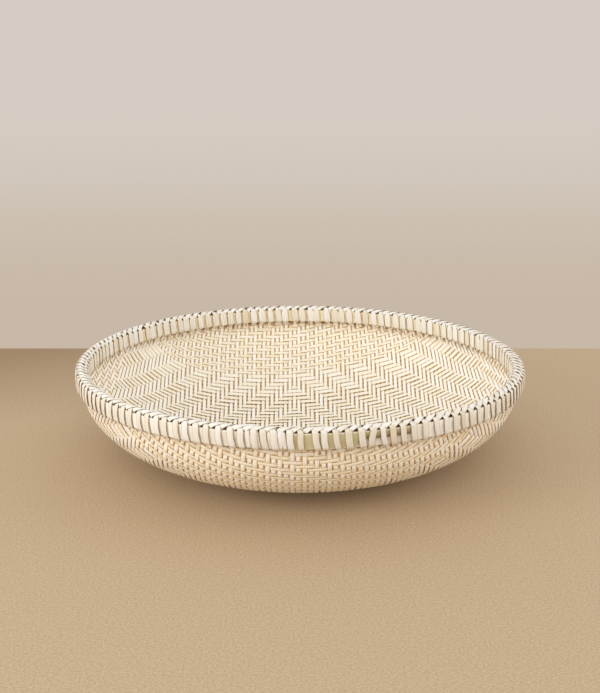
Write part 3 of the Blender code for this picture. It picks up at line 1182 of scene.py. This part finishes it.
@dataclass
class Lashing:
    """Flat strips wound round the hoops, each turn passing through the mat under them.

    Attributes:
        rim: the rim's measures.
        sweep: the tool that makes the strips.
        width: of a strip.
        thickness: of a strip.
        strips: how many strips go round the rim.
        turns: turns of one strip.
        start: where the first strip starts, in degrees from +X.
        shares: how much of a turn's advance is made outside, over the top, inside and under the hoops.
        bow: how far a turn stands off the outer hoop at half its height.
        inner_bow: how far it stands off the inner hoop there.
        inner_girth: its girth there, where it is pressed flat and wide.
        bulge: share of a turn by which it curves aside at half its height.
        foot_bow: how much further its foot stands off the outer hoop, as a share of the bow.
        bend: radius of its bends under the hoops.
        levels: shares of the hoops' height at which it is placed on their faces.
        spring: height above the hoops' top from which it loops over the rim.
        crest_power: below 1 makes the loop over the rim fuller than half an ellipse.
        crest_girth: the strip's girth where it is drawn together on top of the rim.
        odd_turn: number of the one turn that leans the other way.
        odd_tilt: share of a turn by which its foot stands aside.
        nudges: for turns that were wound out of step near the front, by how much of a turn.
        spreads: how much the turns differ in place, lean, girth, tint and tilt.
        tint: their mean tint.
        inner_tilt: share of a turn's tilt that it has on the inside.
        seed: for the turns' own widths, tints and places.
    """

    rim: RimSizes
    sweep: StripSweep
    width: float = 5.3 * MM
    thickness: float = 0.6 * MM
    strips: int = 6
    turns: int = 23
    start: float = -94.4
    shares: tuple[float, float, float, float] = (0.16, 0.34, 0.16, 0.34)
    bow: float = 0.5 * MM
    inner_bow: float = 0.2 * MM
    inner_girth: float = 1.4
    bulge: float = 0.07
    foot_bow: float = 0.6
    bend: float = 1.0 * MM
    levels: tuple[float, ...] = (0.12, 0.5, 0.88)
    spring: float = 0.1 * MM
    crest_power: float = 0.85
    crest_girth: float = 0.68
    odd_turn: int = 130
    odd_tilt: float = 0.4
    nudges: dict[int, float] = field(
        default_factory=lambda: {
            0: 0.27,
            1: 0.15,
            2: -0.07,
            124: 0.15,
            125: 0.3,
            126: 0.42,
            127: 0.4,
            128: 0.35,
            129: 0.2,
            131: 0.12,
            132: 0.2,
            133: 0.2,
            134: 0.18,
        }
    )
    spreads: tuple[float, ...] = (0.05, 0.12, 0.07, 0.25, 0.05)
    tint: float = 0.3
    inner_tilt: float = 0.4
    seed: int = 11

    @property
    def turn_angle(self) -> float:
        """The angle from one turn to the next."""
        return 2 * math.pi / (self.strips * self.turns)

    def loop(self) -> list[tuple[float, float, float, float]]:
        """Draws one turn of the lashing, from under the outer hoop to under the inner one.

        Returns:
            Its points as radius, height, share of the turn's advance and girth.
        """
        half = self.thickness / 2 + self.rim.clearance
        outside, inside = self.rim.outside + half, self.rim.inside - half
        bottom, top = self.rim.bottom - half, self.rim.top + self.spring
        bend = self.bend
        rise = top - bottom - bend
        reach = (outside - inside) / 2
        crown = self.rim.core_top + half - top
        up, over, down, _ = self.shares
        across = up + over
        # The first two and the last two points lie under the hoops, where the strip passes through the mat.
        stations = [
            (outside - 1.5 * bend, bottom, -0.03, 0.9),
            (outside - 0.25 * bend, bottom + 0.25 * bend, 0.0, 1.0),
        ]
        for share in self.levels:
            bulge = math.sin(math.pi * share)
            bowed = outside + self.bow * (bulge + self.foot_bow * (1 - share))
            stations.append((bowed, bottom + bend + rise * share, up * share + self.bulge * bulge, 1.0))
        for turn in range(0, 181, 15):
            angle = math.radians(turn)
            radius = self.rim.middle + reach * math.cos(angle)
            full = math.sin(angle) ** self.crest_power if turn % 180 else 0.0
            girth = 1 - (1 - self.crest_girth) * math.sin(angle) ** 2
            stations.append((radius, top + crown * full, up + over * turn / 180, girth))
        for share in self.levels:
            bowed = inside - self.inner_bow * math.sin(math.pi * share)
            stations.append((bowed, top - rise * share, across + down * share, self.inner_girth))
        stations.append((inside + 0.25 * bend, bottom + 0.25 * bend, across + down, 1.0))
        stations.append((inside + 1.5 * bend, bottom, across + down + 0.03, 0.9))
        return stations

    def path(self, strip: int, random: np.random.Generator) -> StripPath:
        """Winds one strip through all its turns.

        Args:
            strip: the strip's number, from 0.
            random: where the turns' differences come from.

        Returns:
            The path.
        """
        loop = self.loop()
        start = math.radians(self.start) - strip * self.turns * self.turn_angle
        points, girths, shades = [], [], []
        for turn in range(self.turns):
            shift, lean, girth, shade, tilt = random.normal(0, self.spreads)
            number = strip * self.turns + turn
            shift = self.nudges.get(number, shift)
            if number == self.odd_turn:
                tilt = self.odd_tilt
            for radius, height, share, narrowing in loop:
                low = max(self.rim.top - height, 0.0) / (self.rim.top - self.rim.bottom)
                outside = 1.0 if radius > self.rim.middle else self.inner_tilt
                place = turn + shift + share * (1 + lean) + tilt * low * outside
                points.append(round_axis(radius, start - self.turn_angle * place, height))
                girths.append((1 + girth) * narrowing)
                shades.append(self.tint + shade)
        points = np.array(points)
        flat = np.hypot(points[:, 0], points[:, 1])
        run = np.gradient(np.stack([flat, points[:, 2]], axis=1), axis=0)
        out = np.stack([run[:, 1], -run[:, 0]], axis=1)
        faces = np.stack(
            [out[:, 0] * points[:, 0] / flat, out[:, 0] * points[:, 1] / flat, out[:, 1]], axis=1
        )
        return StripPath(points, faces, np.clip(shades, 0, 1), np.array(girths))

    def build(self, material: bpy.types.Material) -> None:
        """Winds all the strips.

        Args:
            material: their finish.
        """
        random = np.random.default_rng(self.seed)
        for strip in range(self.strips):
            name = f"lashing_strip_{strip + 1}"
            piece = self.sweep.lay(name, [self.path(strip, random)], self.width, self.thickness, material)
            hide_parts(f"lashing_{strip + 1}")


@dataclass
class CrossStrip:
    """The strip that crosses the top of the rim slantwise, once between each two turns of the lashing.

    Attributes:
        lashing: the lashing that it lies over.
        width: of the strip.
        thickness: of the strip.
        outer_reach: how far its outer foot stands from the middle of the rim.
        inner_reach: how far its inner foot stands from it.
        foot: share of a turn after which it rises from the outer edge.
        advance: share of a turn that it runs back while it crosses.
        feet: heights of its outer and its inner foot above the hoops' top.
        clearance: how far it lies above the lashing.
        upturn: how much its face is turned up at its feet.
        crest_power: below 1 makes its arch fuller than half an ellipse.
        spreads: how much the crossings differ in place, lean, girth and tint.
        tint: their mean tint.
        seed: for the crossings' own widths, tints and places.
    """

    lashing: Lashing
    width: float = 4.4 * MM
    thickness: float = 0.45 * MM
    outer_reach: float = 3.2 * MM
    inner_reach: float = 4.4 * MM
    foot: float = 1.0
    advance: float = 1.3
    feet: tuple[float, float] = (0.7 * MM, -0.6 * MM)
    clearance: float = 0.2 * MM
    upturn: float = 0.2
    crest_power: float = 0.8
    spreads: tuple[float, ...] = (0.05, 0.08, 0.06, 0.2)
    tint: float = 0.3
    seed: int = 5

    def crossing(self, number: int, random: np.random.Generator) -> StripPath:
        """Draws one crossing, from the outer edge of the rim to the inner edge.

        Args:
            number: the crossing's number, from 0 as the lashing's turns are.
            random: where the crossings' differences come from.

        Returns:
            Its path.
        """
        rim = self.lashing.rim
        turn_angle = self.lashing.turn_angle
        crest = rim.core_top + self.lashing.thickness + self.thickness + self.clearance
        shift, lean, girth, shade = random.normal(0, self.spreads)
        shift += self.lashing.nudges.get(number, 0.0)
        start = math.radians(self.lashing.start) - (number + self.foot + shift) * turn_angle
        points, faces = [], []
        for turn in range(0, 181, 18):
            angle = math.radians(turn)
            share = turn / 180
            round_rim = start + turn_angle * (self.advance + lean) * (3 * share**2 - 2 * share**3)
            outer = turn < 90
            radius = rim.middle + (self.outer_reach if outer else self.inner_reach) * math.cos(angle)
            foot = rim.top + self.feet[0 if outer else 1]
            height = foot + (crest - foot) * max(math.sin(angle), 0.0) ** self.crest_power
            points.append(round_axis(radius, round_rim, height))
            faces.append(round_axis(math.cos(angle), round_rim, math.sin(angle) + self.upturn))
        tint = float(np.clip(self.tint + shade, 0, 1))
        return StripPath(np.array(points), np.array(faces), tint, 1 + girth)

    def build(self, material: bpy.types.Material) -> None:
        """Lays the strip's crossings all round the rim.

        Args:
            material: its finish.
        """
        random = np.random.default_rng(self.seed)
        count = self.lashing.strips * self.lashing.turns
        paths = [self.crossing(number, random) for number in range(count)]
        piece = self.lashing.sweep.lay("cross_strip", paths, self.width, self.thickness, material)


@dataclass
class TuckedEnds:
    """Ends of lashing strips, laid over the outer hoop and tucked in where a new strip took over.

    Attributes:
        lashing: the lashing that they lie beside.
        width: of an end.
        thickness: of an end.
        clearance: how far it lies off the outer hoop.
        gaps: the gaps between turns that they fill, counted from the lashing's start against its winding.
        foot: height of an end's rounded tip above the hoops' underside.
        lean: share of a turn by which an end leans against the winding, and how much that differs.
        unevenness: how much the ends' widths differ.
        seed: for the ends' own widths, tints and lean.
    """

    lashing: Lashing
    width: float = 4.4 * MM
    thickness: float = 0.6 * MM
    clearance: float = 0.1 * MM
    gaps: tuple[float, ...] = (0.52, 0.1, -0.71, -1.68, -2.5)
    foot: float = 0.7 * MM
    lean: tuple[float, float] = (0.16, 0.04)
    unevenness: float = 0.08
    seed: int = 3

    def end(self, gap: float, random: np.random.Generator) -> StripPath:
        """Draws one end, from its tip up over the core.

        Args:
            gap: the gap that it fills.
            random: where the ends' differences come from.

        Returns:
            Its path.
        """
        rim = self.lashing.rim
        angle = math.radians(self.lashing.start) + gap * self.lashing.turn_angle
        mean_lean, spread = self.lean
        lean = self.lashing.turn_angle * (mean_lean + float(random.normal(0, spread)))
        outside = rim.outside + self.thickness / 2 + self.clearance
        tip = rim.bottom + self.foot
        # Radius, height, share of the lean and girth.
        stations = (
            (outside, tip, 0.0, 0.45),
            (outside, tip + 0.6 * MM, 0.05, 0.85),
            (outside, tip + 1.6 * MM, 0.15, 1.0),
            (outside + 0.1 * MM, (rim.bottom + rim.top) / 2, 0.5, 1.0),
            (outside, rim.top - 0.3 * MM, 0.9, 1.0),
            (outside - 0.7 * MM, rim.top + 0.6 * MM, 1.0, 0.95),
            (rim.middle + 1.0 * MM, rim.core_top + 0.2 * MM, 1.2, 0.8),
        )
        points, faces, girths = [], [], []
        for radius, height, share, girth in stations:
            round_rim = angle - lean * share
            points.append(round_axis(radius, round_rim, height))
            faces.append(round_axis(1.0, round_rim, 0.9 if height > rim.top else 0.0))
            girths.append(girth)
        girth = np.array(girths) * (1 + float(random.normal(0, self.unevenness)))
        return StripPath(np.array(points), np.array(faces), float(random.uniform(0, 1)), girth)

    def build(self, material: bpy.types.Material) -> None:
        """Lays the ends.

        Args:
            material: their finish.
        """
        random = np.random.default_rng(self.seed)
        paths = [self.end(gap, random) for gap in self.gaps]
        piece = self.lashing.sweep.lay("tucked_strip_ends", paths, self.width, self.thickness, material)


@dataclass
class Core:
    """The trimmed ends of the splints and the thin strip laid on them, bound in by the lashing.

    Attributes:
        rim: the rim's measures.
        width: of the core.
        height: how far it stands above the hoops.
        sunk: how far it reaches down between the hoops.
        steps: steps round the rim.
        crown_points: points round its rounded top.
        tint: its mean tint.
        waves: size and number round the rim of the waves in which the tint varies.
    """

    rim: RimSizes
    width: float = 4.4 * MM
    height: float = 2.0 * MM
    sunk: float = 0.6 * MM
    steps: int = 240
    crown_points: int = 7
    tint: float = 0.5
    waves: tuple[float, int] = (0.3, 11)

    def build(self, material: bpy.types.Material) -> bpy.types.Object:
        """Builds the core.

        Args:
            material: its finish.

        Returns:
            The piece.
        """
        half = self.width / 2
        turns = np.radians(np.linspace(0, 180, self.crown_points))
        section = [(half * math.cos(turn), self.height * math.sin(turn)) for turn in turns]
        section += [(-half, -self.sunk), (half, -self.sunk)]
        middle, top = self.rim.middle, self.rim.top
        angles = np.linspace(0, 2 * math.pi, self.steps + 1)
        rings = [
            [round_axis(middle + across, angle, top + up) for across, up in section] for angle in angles
        ]
        spots = angles[:, None] * np.ones(len(section))
        size, count = self.waves
        traits = {
            Trait.ALONG: spots * middle,
            Trait.ACROSS: np.linspace(-1, 1, len(section))[None, :] * np.ones((len(angles), 1)),
            Trait.SHADE: self.tint + size * np.sin(spots * count),
        }
        mesh = loft("core", np.array(rings), traits)
        mesh.materials.append(material)
        piece = new_piece("core", mesh)
        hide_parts("rim_core")
        return piece


@dataclass
class Studio:
    """The camera, the table that the basket stands on, and soft light.

    Attributes:
        camera_back: how far in front of the basket's axis the camera stands.
        camera_above_rim: its height above the hoops' underside.
        camera_pitch: how far it looks down, in degrees.
        focal_pixels: its focal length in pixels of the photograph's frame.
        frame_height: height of the photograph's frame in pixels.
        sensor: height of its sensor in millimetres.
        sight_height: height of the camera above the table.
        table_edge: how far behind the axis the table's far edge lies.
        table_half: half the width of the sheet, far beyond what is seen.
        table: the table's colour.
        far_table_shade: its colour in its far left corner, darker there as painted shade.
        far_way: the direction towards that corner.
        far_span: distances that way between which the colour turns.
        wall: the colour of the wall behind the table, high up.
        wall_foot_shade: its colour low down, darker there as painted shade.
        wall_span: slopes of sight down to the sheet between which the wall's colour turns.
        grain: how strongly the card's grain tints it.
        grain_scale: how many grains of the tint there are to a metre.
        relief_scale: how many grains of the relief.
        relief: height of that relief.
        relief_strength: how strongly it bends the light.
        roughness: of the card.
        gloss: the card's specular level.
        fill: strength of the light from all round.
        lamp_size: width of each lamp.
        lamps: name, place and energy of each lamp.
        lamp_aim: the point that they face.
    """

    camera_back: float = 0.9915
    camera_above_rim: float = 0.2983
    camera_pitch: float = 15.43
    focal_pixels: float = 1111.0
    frame_height: float = 693.0
    sensor: float = 36.0
    sight_height: float = 0.372
    table_edge: float = 0.3475
    table_half: float = 6.0
    table: str = "#baa283"
    far_table_shade: str = "#9a7f60"
    far_way: tuple[float, float, float] = (-0.5, 0.85, 0.0)
    far_span: tuple[float, float] = (0.2, 0.45)
    wall: str = "#d5ccc3"
    wall_foot_shade: str = "#c8b8a7"
    wall_span: tuple[float, float] = (0.24, 0.05)
    grain: float = 0.17
    grain_scale: float = 620.0
    relief_scale: float = 900.0
    relief: float = 0.2 * MM
    relief_strength: float = 0.3
    roughness: float = 0.9
    gloss: float = 0.2
    fill: float = 0.9
    lamp_size: float = 1.2
    lamps: tuple[tuple[str, tuple[float, float, float], float], ...] = (
        ("left_softbox", (-1.7, -1.0, 0.6), 17.0),
        ("right_softbox", (1.6, -0.3, 0.5), 6.2),
        ("front_softbox", (0.0, -1.8, 1.1), 5.0),
    )
    lamp_aim: tuple[float, float, float] = (0.0, 0.0, 0.05)

    def build(self, rim: RimSizes) -> None:
        """Sets up the camera, the table and the light.

        Args:
            rim: the rim's measures.
        """
        scene = bpy.context.scene
        scene.view_settings.view_transform = "Standard"
        self.add_camera(scene, rim)
        self.add_table(scene)
        self.add_light(scene)

    def add_camera(self, scene: bpy.types.Scene, rim: RimSizes) -> None:
        """Adds the camera at the photograph's place.

        Args:
            scene: the scene.
            rim: the rim's measures.
        """
        data = bpy.data.cameras.new("camera")
        data.sensor_fit = "VERTICAL"
        data.sensor_height = self.sensor
        data.lens = self.sensor * self.focal_pixels / self.frame_height
        camera = bpy.data.objects.new("camera", data)
        camera.location = (0, -self.camera_back, rim.bottom + self.camera_above_rim)
        camera.rotation_euler = (math.radians(90 - self.camera_pitch), 0, 0)
        scene.collection.objects.link(camera)
        scene.camera = camera

    def add_table(self, scene: bpy.types.Scene) -> None:
        """Adds the table, a plain sheet that turns into the backdrop behind its far edge.

        Args:
            scene: the scene.
        """
        half = self.table_half
        mesh = bpy.data.meshes.new("table")
        corners = [(-half, -half, 0), (half, -half, 0), (half, half, 0), (-half, half, 0)]
        mesh.from_pydata(corners, [], [(0, 1, 2, 3)])
        mesh.materials.append(self.card())
        table = bpy.data.objects.new("table", mesh)
        scene.collection.objects.link(table)

    def card(self) -> bpy.types.Material:
        """Builds the table's painted card: matt, with a fine grain, darker towards its far left corner as
        painted shade, and a plain wall behind its far edge, darker low down as painted shade.

        Returns:
            The material.
        """
        material = bpy.data.materials.new("painted_card")
        material.use_nodes = True
        tree = material.node_tree
        shader = tree.nodes["Principled BSDF"]
        shader.inputs["Roughness"].default_value = self.roughness
        shader.inputs["Specular IOR Level"].default_value = self.gloss
        spot = add_node(tree, "ShaderNodeTexCoord").outputs["Object"]
        grain = add_node(
            tree, "ShaderNodeTexNoise", {"Vector": spot, "Scale": self.relief_scale, "Detail": 2.0}
        )
        relief = {"Strength": self.relief_strength, "Distance": self.relief, "Height": grain}
        bump = add_node(tree, "ShaderNodeBump", relief)
        tree.links.new(bump.outputs[0], shader.inputs["Normal"])
        speck = add_node(
            tree, "ShaderNodeTexNoise", {"Vector": spot, "Scale": self.grain_scale, "Detail": 3.0}
        )
        amount = add_node(
            tree, "ShaderNodeMapRange", {0: speck, 1: 0.3, 2: 0.7, 3: 1 - self.grain, 4: 1 + self.grain}
        )
        # Painted shade: the table darkens towards its far left corner.
        towards = add_node(tree, "ShaderNodeVectorMath", {0: spot, 1: self.far_way}, operation="DOT_PRODUCT")
        near, far = self.far_span
        tone = add_node(tree, "ShaderNodeMapRange", {0: towards.outputs["Value"], 1: near, 2: far})
        tones = {0: tone, 6: linear(self.table), 7: linear(self.far_table_shade)}
        toned = add_node(tree, "ShaderNodeMix", tones, data_type="RGBA").outputs[2]
        grained = add_node(tree, "ShaderNodeVectorMath", {0: toned, "Scale": amount}, operation="SCALE")
        tree.links.new(grained.outputs[0], shader.inputs["Base Color"])

        back = add_node(tree, "ShaderNodeSeparateXYZ", {0: spot}).outputs[1]
        edge = self.table_edge
        beyond = add_node(tree, "ShaderNodeMapRange", {0: back, 1: edge - 1 * MM, 2: edge + 1 * MM})
        camera_ray = add_node(tree, "ShaderNodeLightPath").outputs["Is Camera Ray"]
        seen = add_node(tree, "ShaderNodeMath", {0: beyond, 1: camera_ray}, operation="MULTIPLY")
        away = add_node(tree, "ShaderNodeMath", {0: back, 1: self.camera_back}, operation="ADD")
        slant = add_node(tree, "ShaderNodeMath", {0: self.sight_height, 1: away}, operation="DIVIDE")
        low, high = self.wall_span
        climb = add_node(
            tree, "ShaderNodeMapRange", {0: slant, 1: low, 2: high}, interpolation_type="SMOOTHSTEP"
        )
        # Painted shade: the wall darkens low down.
        tones = {0: climb, 6: linear(self.wall_foot_shade), 7: linear(self.wall)}
        fading = add_node(tree, "ShaderNodeMix", tones, data_type="RGBA").outputs[2]
        backdrop = add_node(tree, "ShaderNodeEmission", {"Color": fading, "Strength": 1.0})
        mixed = add_node(tree, "ShaderNodeMixShader", {0: seen, 1: shader, 2: backdrop})
        tree.links.new(mixed.outputs[0], tree.nodes["Material Output"].inputs["Surface"])
        return material

    def add_light(self, scene: bpy.types.Scene) -> None:
        """Adds soft light from all round and large soft lamps to the left, the right and the front.

        Args:
            scene: the scene.
        """
        world = bpy.data.worlds.new("studio")
        scene.world = world
        world.use_nodes = True
        tree = world.node_tree
        tree.nodes.clear()
        camera_ray = add_node(tree, "ShaderNodeLightPath").outputs["Is Camera Ray"]
        white = (1.0, 1.0, 1.0, 1.0)
        fill = add_node(tree, "ShaderNodeBackground", {"Color": white, "Strength": self.fill})
        seen = add_node(tree, "ShaderNodeBackground", {"Color": linear(self.wall), "Strength": 1.0})
        mixed = add_node(tree, "ShaderNodeMixShader", {0: camera_ray, 1: fill, 2: seen})
        add_node(tree, "ShaderNodeOutputWorld", {0: mixed})
        for name, place, energy in self.lamps:
            data = bpy.data.lights.new(name, "AREA")
            data.shape = "DISK"
            data.size = self.lamp_size
            data.energy = energy
            lamp = bpy.data.objects.new(name, data)
            lamp.location = place
            scene.collection.objects.link(lamp)
            aim = np.array(self.lamp_aim) - np.array(place)
            lamp.rotation_euler = (
                math.atan2(float(np.hypot(aim[0], aim[1])), -float(aim[2])),
                0,
                math.atan2(float(aim[1]), float(aim[0])) - math.pi / 2,
            )


def main() -> None:
    """Builds the basket's pieces in order, then the studio."""
    logging.basicConfig(level=logging.INFO, format="%(name)s %(message)s")
    rim = RimSizes.from_frame()
    sweep = StripSweep()
    lashing = Lashing(rim, sweep)
    # Green-white bamboo split by hand and left bare: pale, dry fibres with honey-coloured split edges,
    # partly their own colour and partly painted shade of the gaps, so that the weave reads as cream lines
    # drawn with brown.
    weave = PiercedFinish(
        "split_bamboo_splints",
        pale="#fbf9f4",
        deep="#f3e8ce",
        fibre="#efdca8",
        # The honey edge band is partly the splints' own colour and partly painted shade of the gaps.
        edge="#e4b85c",
        # Painted shade: the split faces are darkened where they stand in the gaps.
        cut="#b8852c",
        # Painted shade where a splint dips under the one it crosses.
        under_shade="#cc9c40",
        strip_width=3 * MM,
        edge_start=0.66,
        edge_amount=0.85,
        cut_shade_amount=0.9,
        under_shade_amount=0.8,
        turns=lashing.strips * lashing.turns,
        start=lashing.start,
        inside_share=sum(lashing.shares[:3]),
        high=rim.bottom,
    )
    # A band split with its skin outwards: khaki and faintly satin where the skin is seen, with a pale lip
    # where it was planed off.
    skin = BambooFinish(
        "bamboo_skin_band",
        pale="#f6f2e8",
        deep="#c8bc92",
        fibre="#b4a67a",
        edge="#f4ead4",
        # Painted shadow as a dark line under the outer end's cut-away tail.
        under_shade="#6c3e0e",
        strip_width=12 * MM,
        fibre_amount=0.25,
        edge_start=0.86,
        edge_amount=0.9,
        under_shade_amount=0.9,
    )
    # A band split from under the skin: straw deepened to gold as painted shade, so that it shows as thin
    # golden lines between the turns.
    band = BambooFinish(
        "split_bamboo_band",
        pale="#f2e4c4",
        deep="#e4cb98",
        fibre="#cfae70",
        edge="#e0c690",
        strip_width=12 * MM,
        edge_start=0.86,
    )
    # Splint ends cut off and bound in: end grain, painted dark brown as shade, seen as small brown holes on
    # top of the rim.
    core = BambooFinish(
        "splint_ends_painted_shade",
        pale="#8a5a2b",
        deep="#4a2c12",
        fibre="#2c180a",
        edge="#5a3818",
    )
    # A ribbon shaved from the inner wood: the smoothest and whitest strip, with thin warm edges.
    ribbon = BambooFinish(
        "shaved_bamboo_ribbon",
        pale="#eeebe4",
        deep="#e2d6bf",
        fibre="#ceae84",
        edge="#cfa672",
        # Painted shade: the split faces are darkened brown, as the shadow beside the ribbon.
        cut="#6e4018",
        fibre_width=0.5 * MM,
        edge_start=0.8,
        cut_shade_amount=0.7,
    )
    # Strip ends scraped thin so that they tuck in: greyer, with open fibres.
    ends = BambooFinish(
        "scraped_strip_ends",
        pale="#f6f4f0",
        deep="#e8e0d2",
        fibre="#b6a68c",
        edge="#c6b292",
        # Painted shade: the split faces are darkened.
        cut="#6a4a2c",
        fibre_width=0.7 * MM,
        fibre_amount=0.6,
        cut_shade_amount=0.6,
    )
    # The lashing strip, shaved flat: ivory with long straw fibres, and a brown split edge that outlines
    # every turn. That brown, and the brown of its underside, is painted shade.
    strip = BambooFinish(
        "shaved_bamboo_strip",
        pale="#ebe8e0",
        deep="#dccfb5",
        fibre="#ccb68e",
        edge="#e0c084",
        # Painted shade: the split faces are darkened brown.
        cut="#a06a24",
        # Painted shade on the strip's underside, which faces the hoops.
        under_shade="#ac6a14",
        fibre_width=0.4 * MM,
        fibre_length=60 * MM,
        fibre_amount=0.55,
        edge_start=0.76,
        cut_shade_amount=0.6,
        under_shade_amount=0.85,
    )
    TwillMat(BowlSurface(rim), sweep).build(weave.build())
    outer_inside = rim.outside - rim.shown_thickness
    outer = SkinHoop("outer_band", "outer_hoop", outer_inside, rim, scarf_start=-100.0)
    outer.build(skin.build())
    inner = Hoop("inner_band", "inner_hoop", rim.inside, rim, scarf_start=55.0)
    inner.build(band.build())
    lashing.build(strip.build())
    CrossStrip(lashing).build(ribbon.build())
    TuckedEnds(lashing).build(ends.build())
    Core(rim).build(core.build())
    Studio().build(rim)
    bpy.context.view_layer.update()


if __name__ == "__main__":
    main()
